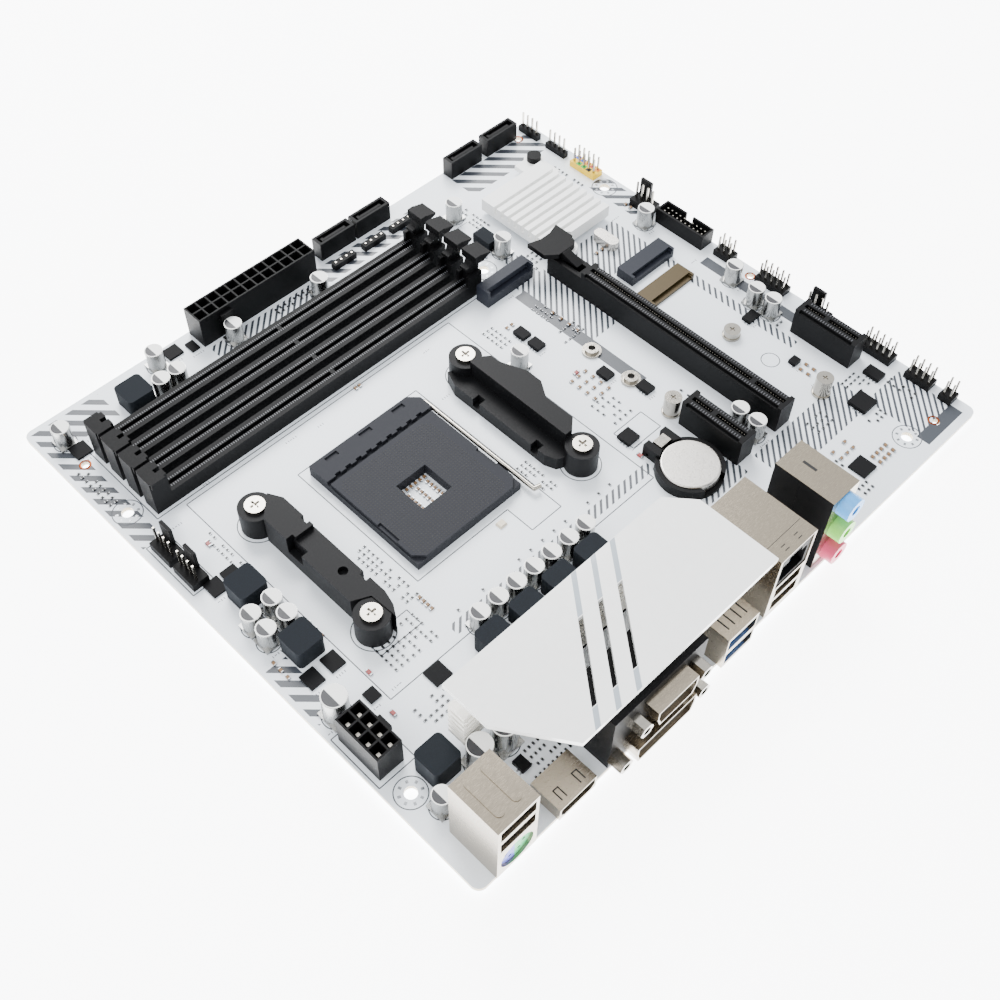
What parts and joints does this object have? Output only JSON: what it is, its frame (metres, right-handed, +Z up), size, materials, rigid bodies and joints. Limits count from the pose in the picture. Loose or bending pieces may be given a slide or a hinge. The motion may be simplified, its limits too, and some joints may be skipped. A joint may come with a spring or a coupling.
{
  "type": "computer motherboard",
  "caption": "White compact desktop motherboard with processor socket, memory and expansion slots, rear connector block, heatsinks and a coin cell.",
  "frame": {"origin": "centre of the datum mounting hole (left side, nearer the rear connectors) on the circuit board's underside", "axes": "+X along the rear connector edge from the keyboard port to the audio jacks, +Y from the rear edge towards the memory slots, +Z up from the board"},
  "size_m": [0.2361, 0.22, 0.0366],
  "materials": {
    "board": "white solder mask, satin",
    "black_plastic": "moulded nylon, matte",
    "slate_plastic": "moulded LCP, matte",
    "ferrite": "pressed iron powder, grainy",
    "chip_resin": "epoxy mould compound",
    "nickel_steel": "nickel-plated steel",
    "bright_steel": "nickel-plated, bright",
    "zinc_steel": "zinc-plated steel",
    "solder": "tin solder",
    "can_aluminium": "bare aluminium",
    "white_aluminium": "white powder coat",
    "white_cover": "white, high gloss",
    "yellow_plastic": "moulded nylon",
    "blue_plastic": "moulded insert",
    "pink_plastic": "moulded ring",
    "green_plastic": "moulded ring",
    "jack_blue": "moulded ring",
    "ps2_plastic": "moulded insert, two colours",
    "bronze_plastic": "gold-flashed cover",
    "cell_steel": "nickel-plated steel",
    "crystal_steel": "nickel-plated steel",
    "silicone": "thermal pad"
  },
  "bodies": {
    "board": {"atx_power_header": "black_plastic", "audio_body": "black_plastic", "audio_jack_blue": "jack_blue", "audio_jack_green": "green_plastic", "audio_jack_pink": "pink_plastic", "battery_holder": "black_plastic", "bracket_screws": "bright_steel", "capacitors": "can_aluminium", "chipset": "chip_resin", "chipset_heatsink": "white_aluminium", "chipset_push_pins": "black_plastic", "circuit_board": "board", "cooler_backplate": "zinc_steel", "cooler_bracket_left": "black_plastic", "cooler_bracket_right": "black_plastic", "cpu_power_header": "black_plastic", "cpu_socket_base": "slate_plastic", "crystal": "crystal_steel", "dimm_slot_1": "black_plastic", "dimm_slot_2": "black_plastic", "dimm_slot_3": "black_plastic", "dimm_slot_4": "black_plastic", "fan_headers": "black_plastic", "front_panel_header": "yellow_plastic", "hdmi_shell": "nickel_steel", "header_pins": "bright_steel", "heatsink_cover": "white_cover", "hex_nuts": "bright_steel", "inductors": "ferrite", "integrated_circuits": "chip_resin", "lan_jack_insert": "black_plastic", "lan_usb_shell": "nickel_steel", "m2_screws": "bright_steel", "m2_slot_wireless": "bronze_plastic", "m2_slots": "slate_plastic", "m2_standoffs": "bright_steel", "pcie_x16_slot": "black_plastic", "pcie_x1_slots": "black_plastic", "pin_header_bases": "black_plastic", "port_tongues": "blue_plastic", "ps2_insert": "ps2_plastic", "ps2_usb_shell": "nickel_steel", "sata_ports": "black_plastic", "solder_legs": "solder", "thermal_pad": "silicone", "usb_front_header": "black_plastic", "usb_stack_shell": "nickel_steel", "video_bracket": "black_plastic", "video_inserts": "blue_plastic", "video_shells": "nickel_steel", "vrm_heatsink": "white_aluminium"},
    "latch_1": {"dimm_latch_1": "black_plastic"},
    "latch_2": {"dimm_latch_2": "black_plastic"},
    "latch_3": {"dimm_latch_3": "black_plastic"},
    "latch_4": {"dimm_latch_4": "black_plastic"},
    "expansion_latch": {"pcie_x16_latch": "black_plastic"},
    "socket_cover": {"cpu_socket_cover": "slate_plastic"},
    "socket_lever": {"cpu_socket_lever": "bright_steel"},
    "cell": {"coin_cell": "cell_steel"},
    "cell_clip": {"battery_clip": "bright_steel"}
  },
  "joints": [
    {"name": "dimm_latch_1_swing", "type": "hinge", "parent": "board", "child": "latch_1", "pos_m": [0.1462, 0.12788, 0.0058], "axis": [0, 1, 0], "range_deg": [0, 28]},
    {"name": "dimm_latch_2_swing", "type": "hinge", "parent": "board", "child": "latch_2", "pos_m": [0.1462, 0.13728, 0.0058], "axis": [0, 1, 0], "range_deg": [0, 28]},
    {"name": "dimm_latch_3_swing", "type": "hinge", "parent": "board", "child": "latch_3", "pos_m": [0.1462, 0.14668, 0.0058], "axis": [0, 1, 0], "range_deg": [0, 28]},
    {"name": "dimm_latch_4_swing", "type": "hinge", "parent": "board", "child": "latch_4", "pos_m": [0.1462, 0.15608, 0.0058], "axis": [0, 1, 0], "range_deg": [0, 28]},
    {"name": "expansion_latch_press", "type": "hinge", "parent": "board", "child": "expansion_latch", "pos_m": [0.17685, 0.11148, 0.005], "axis": [-1, 0, 0], "range_deg": [0, 12], "stiffness_Nm_per_rad": 0.004},
    {"name": "socket_lever_lift", "type": "hinge", "parent": "board", "child": "socket_lever", "pos_m": [0.09735, 0.09878, 0.004], "axis": [-1, 0, 0], "range_deg": [0, 90]},
    {"name": "socket_cover_slide", "type": "slide", "parent": "board", "child": "socket_cover", "axis": [0, 1, 0], "range_m": [0, 0.0009]},
    {"name": "coin_cell_lift", "type": "slide", "parent": "board", "child": "cell", "axis": [0, 0, 1], "range_m": [0, 0.01]},
    {"name": "cell_clip_release", "type": "hinge", "parent": "board", "child": "cell_clip", "pos_m": [0.13965, 0.03208, 0.0032], "axis": [-1, 0, 0], "range_deg": [0, 20], "stiffness_Nm_per_rad": 0.002}
  ],
  "couplings": [
    {"joint": "socket_cover_slide", "follows": "socket_lever_lift", "m_per_rad": 0.00057}
  ]
}
